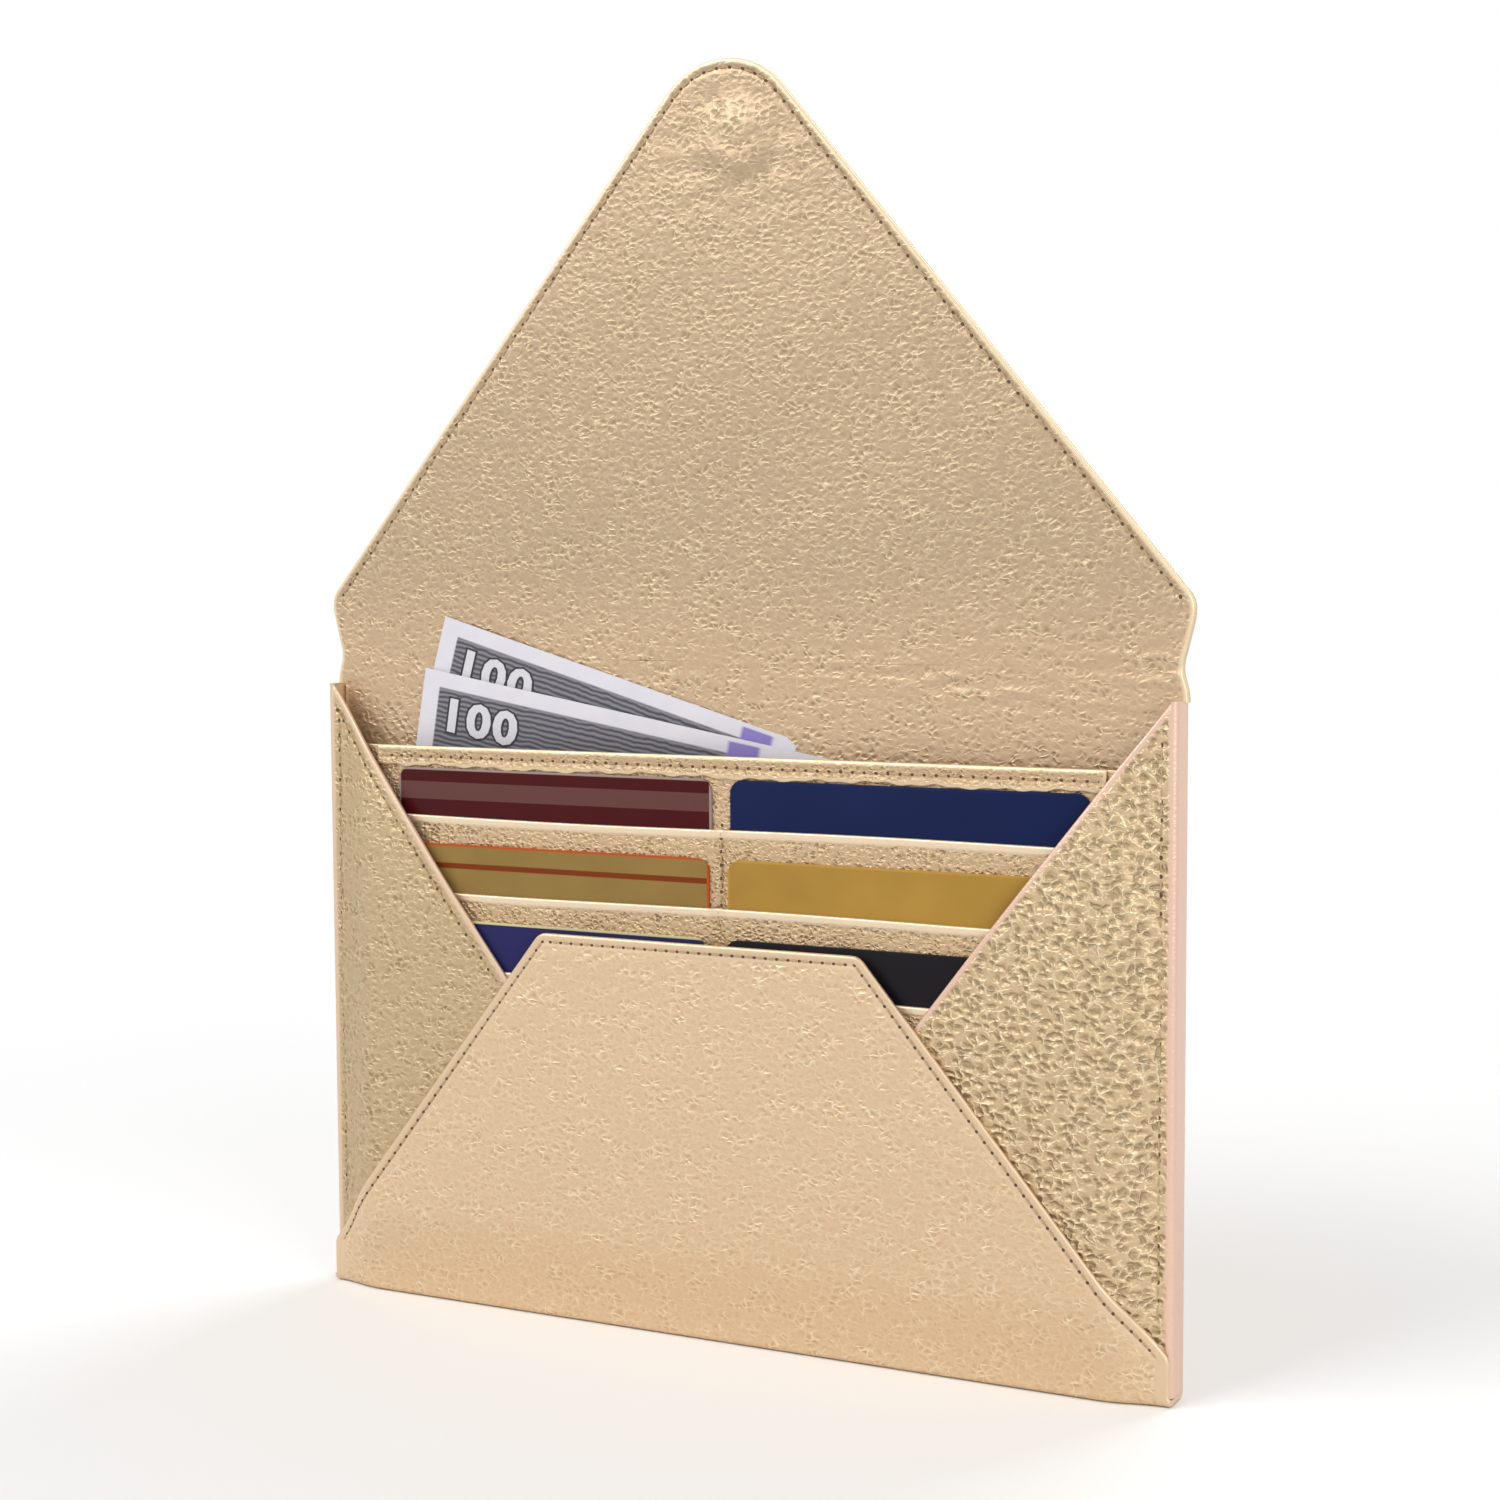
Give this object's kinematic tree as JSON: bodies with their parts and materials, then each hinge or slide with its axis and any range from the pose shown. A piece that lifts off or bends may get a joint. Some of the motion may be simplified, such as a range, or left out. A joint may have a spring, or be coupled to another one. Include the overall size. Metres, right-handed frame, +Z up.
{
  "type": "envelope wallet",
  "caption": "Slim envelope wallet of folded leather: a pointed fold-over flap, stitched front panels, staggered card slots and a bill pocket behind them, standing open.",
  "frame": {"origin": "middle of the bottom fold, at the centre of the bounding box's underside", "axes": "+Z up towards the flap's tip, +X along the width to the viewer's right, -Y out of the front, +Y out of the back panel"},
  "size_m": [0.2196, 0.0146, 0.2903],
  "materials": {
    "gold_leather": "metallic gold foil on pebbled leather",
    "gold_lining": "metallic gold foil on fine pebbled leather",
    "turned_side": "smooth turned leather edge with a pebbled face",
    "magnet": "plated disc magnet",
    "card_maroon": "gloss laminated card",
    "card_blue": "gloss laminated card",
    "card_olive_gold": "gloss laminated card",
    "card_mustard": "gloss laminated card",
    "card_navy": "gloss laminated card",
    "card_black": "gloss laminated card",
    "note_paper": "printed cotton paper"
  },
  "bodies": {
    "wallet_body": {"envelope_shell": "gold_leather", "back_lining": "gold_lining", "side_panel_left": "turned_side", "side_panel_right": "turned_side", "card_panel": "gold_lining", "panel_top_band": "gold_lining", "pocket_top": "gold_lining", "pocket_middle": "gold_lining", "pocket_bottom": "gold_lining", "card_top_left": "card_maroon", "card_top_right": "card_blue", "card_middle_left": "card_olive_gold", "card_middle_right": "card_mustard", "card_bottom_left": "card_navy", "card_bottom_right": "card_black", "note_rear": "note_paper", "note_front": "note_paper", "front_magnet": "magnet"},
    "fold_strip": {"strip_outer": "gold_leather", "strip_lining": "gold_lining"},
    "flap": {"flap_outer": "gold_leather", "flap_lining": "gold_lining", "flap_magnet": "magnet"}
  },
  "joints": [
    {"name": "strip_fold", "type": "hinge", "parent": "wallet_body", "child": "fold_strip", "pos_m": [0, 0.00484, 0.14915], "axis": [1, 0, 0], "range_deg": [0, 90], "deforming": ["note_front", "note_rear"]},
    {"name": "flap_fold", "type": "hinge", "parent": "fold_strip", "child": "flap", "pos_m": [0, 0.00484, 0.16173], "axis": [1, 0, 0], "range_deg": [0, 90]}
  ],
  "couplings": [
    {"joint": "flap_fold", "follows": "strip_fold", "ratio": 1}
  ]
}
